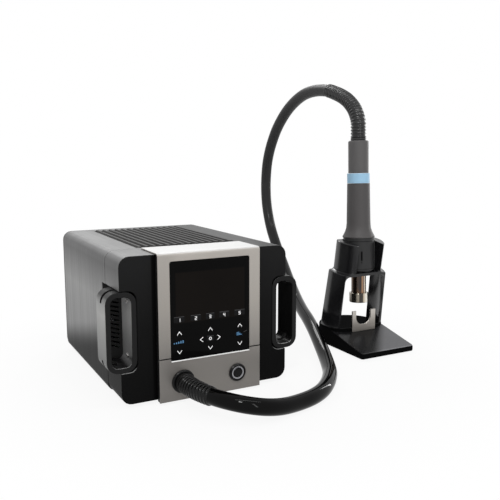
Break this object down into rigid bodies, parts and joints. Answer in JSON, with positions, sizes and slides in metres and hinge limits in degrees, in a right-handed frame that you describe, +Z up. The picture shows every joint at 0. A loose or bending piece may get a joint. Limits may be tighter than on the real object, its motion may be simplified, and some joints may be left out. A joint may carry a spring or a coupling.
{
  "type": "hot air rework station",
  "caption": "Boxy hot air rework station with side handles and a touch front, its hose, and a handpiece standing in a leaning holder with a nozzle hook.",
  "frame": {"origin": "on the table, under the middle of the case and the holder taken together, the hose left out", "axes": "+Z up, +X to the right of the front, -Y towards the user"},
  "size_m": [0.3772, 0.4385, 0.3275],
  "materials": {
    "dark_metal": "satin",
    "tray_steel": "plain",
    "black_plastic": "satin",
    "vent_black": "satin",
    "fascia": "brushed",
    "display": "gloss",
    "board": "solder mask",
    "light_ring": "translucent",
    "button_black": "gloss",
    "nut_metal": "plated",
    "foot_rubber": "matt",
    "hose_rubber": "gloss",
    "boot_rubber": "satin",
    "motor_metal": "plain",
    "impeller_plastic": "moulded",
    "duct_plastic": "matt",
    "core_steel": "lacquered",
    "coil_copper": "enamelled",
    "heat_sink": "extruded",
    "capacitor": "sleeved",
    "holder_black": "satin",
    "bright_steel": "brushed",
    "nickel": "bright",
    "tube_steel": "heat tinted",
    "element": "ceramic white",
    "housing_black": "satin",
    "grip_grey": "satin",
    "ring_blue": "satin"
  },
  "bodies": {
    "case": {"front_frame": "black_plastic", "main_cover": "dark_metal", "base_tray": "tray_steel", "handle_left": "black_plastic", "handle_right": "black_plastic", "side_louvre_left": "black_plastic", "side_louvre_right": "black_plastic", "top_vent": "vent_black", "upper_fascia": "fascia", "lower_fascia": "fascia", "fascia_carrier": "black_plastic", "display_glass": "display", "display_module": "display", "display_board": "board", "button_bezel": "button_black", "button_light_ring": "light_ring", "button_nut": "nut_metal", "button_switch": "black_plastic", "hose_socket": "black_plastic", "rear_panel": "black_plastic", "mains_inlet": "black_plastic", "blower_housing": "black_plastic", "blower_cover": "black_plastic", "blower_motor": "motor_metal", "air_duct": "duct_plastic", "transformer_core": "core_steel", "transformer_coil": "coil_copper", "control_board": "board", "heat_sink": "heat_sink", "filter_capacitor": "capacitor", "stand_base": "holder_black", "stand_holder": "holder_black", "sleep_magnet": "bright_steel", "nozzle_hook": "bright_steel", "hose_lower": "hose_rubber", "hose_sleeve": "hose_rubber", "foot_front_left": "foot_rubber", "foot_front_right": "foot_rubber", "foot_rear_left": "foot_rubber", "foot_rear_right": "foot_rubber", "stand_foot_front_left": "foot_rubber", "stand_foot_front_right": "foot_rubber", "stand_foot_rear_left": "foot_rubber", "stand_foot_rear_right": "foot_rubber"},
    "handpiece": {"heater_tube": "tube_steel", "heating_element": "element", "lower_housing": "housing_black", "handle_grip": "grip_grey", "handle_ring": "ring_blue", "handle_sleeve": "grip_grey", "hose_boot": "boot_rubber", "hose_upper": "hose_rubber"},
    "nozzle_collar": {"nozzle_collar": "nickel"},
    "power_button": {"power_button": "button_black"},
    "impeller": {"impeller": "impeller_plastic"},
    "fuse_drawer": {"fuse_drawer": "black_plastic"}
  },
  "joints": [
    {"name": "handpiece_lift", "type": "slide", "parent": "case", "child": "handpiece", "axis": [0, 0.0419, 0.9991], "range_m": [0, 0.1]},
    {"name": "nozzle_pull", "type": "slide", "parent": "handpiece", "child": "nozzle_collar", "axis": [0, -0.0419, -0.9991], "range_m": [0, 0.014]},
    {"name": "power_press", "type": "slide", "parent": "case", "child": "power_button", "axis": [0, 1, 0], "range_m": [0, 0.0025], "stiffness_N_per_m": 300, "springref_m": -0.002},
    {"name": "impeller_spin", "type": "hinge", "parent": "case", "child": "impeller", "pos_m": [-0.10735, -0.017, 0.021], "axis": [0, 0, 1], "continuous": true},
    {"name": "fuse_drawer_slide", "type": "slide", "parent": "case", "child": "fuse_drawer", "axis": [0, 1, 0], "range_m": [0, 0.018]}
  ]
}
